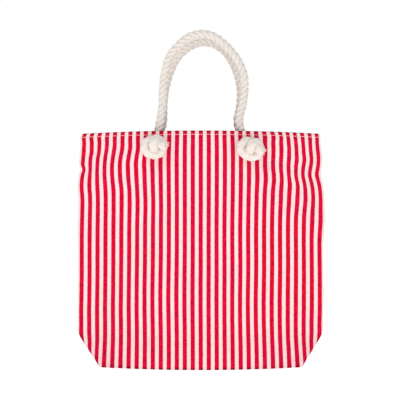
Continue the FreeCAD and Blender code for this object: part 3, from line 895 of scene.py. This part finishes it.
# Each seam's line, and half the loops' size across the allowance and through its two layers.
seams = {
    "side_seam_left": (side_line(-1), (0.0036, 0, 0), (0, 0.0010, 0)),
    "side_seam_right": (side_line(1), (0.0036, 0, 0), (0, 0.0010, 0)),
    "base_seam_front": (front_foot, (0, 0, 0.0032), (0, 0.0013, 0)),
    "base_seam_back": (back_foot, (0, 0, 0.0032), (0, 0.0013, 0)),
    "corner_seam_left": (left_foot, (0, 0, 0.0032), (0.0013, 0, 0)),
    "corner_seam_right": (right_foot, (0, 0, 0.0032), (0.0013, 0, 0)),
}
for node, (points, across, through) in seams.items():
    winding = grown(smooth_curve(node + "_line", points), overlock, {
        "Pitch": OVERLOCK_PITCH, "Across": across, "Through": through, "Radius": THREAD_RADIUS * 0.6,
        "Material": thread}, node + "_thread")
    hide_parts(node)
    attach(winding, "base")

# ---- Eyelets ----
# Four two-part brass eyelets with a satin nickel finish, pressed together through the canvas: outside
# a grommet, whose barrel is curled over inside against a plain domed washer.


def metal_material():
    """Satin nickel with fine turning marks."""
    material, tree, surface = new_material("satin_nickel")
    place = add_node(tree, "ShaderNodeTexCoord").outputs["Object"]
    marks = add_node(tree, "ShaderNodeTexNoise", {"Vector": place, "Scale": 900.0, "Detail": 3.0})
    rough = add_node(tree, "ShaderNodeMapRange",
                     {"Value": marks.outputs["Fac"], "To Min": 0.26, "To Max": 0.42})
    tree.links.new(rough.outputs[0], surface.inputs["Roughness"])
    surface.inputs["Base Color"].default_value = (0.56, 0.53, 0.49, 1)
    surface.inputs["Metallic"].default_value = 1.0
    return material


def spun(name, outline, place, normal, material, steps=72):
    """A closed ring turned from an outline of radius and height, standing on a place along a normal."""
    normal = Vector(normal).normalized()
    across = Vector((0, 0, 1)).cross(normal).normalized()
    other = normal.cross(across)
    vertices = []
    for k in range(steps):
        a = math.tau * k / steps
        out = across * math.cos(a) + other * math.sin(a)
        vertices += [Vector(place) + out * r + normal * h for r, h in outline]
    count = len(outline)
    faces = []
    for k in range(steps):
        here, ahead = k * count, (k + 1) % steps * count
        faces += [(here + i, ahead + i, ahead + (i + 1) % count, here + (i + 1) % count)
                  for i in range(count)]
    return mesh_piece(name, [(vertices, faces)], material)


# Sections of the two parts: radius, and height above the panel's outer face.
GROMMET = [
    (0.0082, -0.0030), (0.0082, 0.0002), (0.0085, 0.0011), (0.0093, 0.0016), (0.0103, 0.0017),
    (0.0113, 0.0015), (0.0119, 0.0011), (0.0121, 0.0005), (0.0118, 0.0003), (0.0106, 0.0004),
    (0.0093, 0.0002), (0.0091, -0.0022), (0.0094, -0.0028), (0.0099, -0.0031), (0.0096, -0.0034),
    (0.0088, -0.0034),
]
WASHER = [
    (0.0094, -0.0014), (0.0120, -0.0013), (0.0121, -0.0017), (0.0116, -0.0023), (0.0109, -0.0026),
    (0.0101, -0.0027), (0.0094, -0.0022),
]

nickel = metal_material()
for face, facing in (("front", -1), ("back", 1)):
    for side in (-1, 1):
        place, normal = eyelet_place(side)
        if facing > 0:
            place, normal = (-place[0], -place[1], place[2]), (-normal[0], -normal[1], 0)
        where = "left" if place[0] < 0 else "right"
        for kind, outline in (("grommet", GROMMET), ("washer", WASHER)):
            node = face + "_" + kind + "_" + where
            ring = spun(node + "_metal", outline, place, normal, nickel)
            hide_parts(node)
            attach(ring, face)

# ---- Floor and light ----
# A plain white floor under an even white sky, with a large soft light above the camera on the left
# and a weaker one on the right.
FLOOR_HALF = 12.0
FLOOR_DROP = 0.0006         # the floor lies this far below the bag, clear of its cloth
SKY_STRENGTH = 0.51
AIM = (0, 0, 0.25)


def studio_material():
    """Matt white that glows a little, so that it stays white behind the bag."""
    material, _, surface = new_material("studio_white")
    surface.inputs["Base Color"].default_value = (0.95, 0.95, 0.95, 1)
    surface.inputs["Roughness"].default_value = 1.0
    surface.inputs["Specular IOR Level"].default_value = 0.0
    surface.inputs["Emission Color"].default_value = (1, 1, 1, 1)
    surface.inputs["Emission Strength"].default_value = 0.75
    return material


def soft_light(name, place, size, power):
    """A square light aimed at the middle of the bag."""
    data = bpy.data.lights.new(name, "AREA")
    data.size = size
    data.energy = power
    light = placed(name, data)
    light.location = place
    light.rotation_euler = (Vector(AIM) - Vector(place)).to_track_quat("-Z", "Y").to_euler()


corners = ((-1, -1), (1, -1), (1, 1), (-1, 1))
floor_points = [(x * FLOOR_HALF, y * FLOOR_HALF, -FLOOR_DROP) for x, y in corners]
studio = mesh_piece("studio_floor", [(floor_points, [(0, 1, 2, 3)])], studio_material())
soft_light("key_light", place=(-1.3, -2.4, 2.6), size=1.6, power=33.0)
soft_light("fill_light", place=(2.2, -2.2, 1.2), size=2.0, power=10.6)

# The sky lights the bag with part of its strength, and looks fully white behind it.
world = bpy.data.worlds.new("studio")
world.use_nodes = True
sky = world.node_tree.nodes["Background"]
sky.inputs["Color"].default_value = (1, 1, 1, 1)
seen = add_node(world.node_tree, "ShaderNodeLightPath").outputs["Is Camera Ray"]
strength = math_node(world.node_tree, "MULTIPLY_ADD", seen, 1.0 - SKY_STRENGTH, SKY_STRENGTH)
world.node_tree.links.new(strength, sky.inputs["Strength"])
scene.world = world
scene.view_settings.view_transform = "Standard"
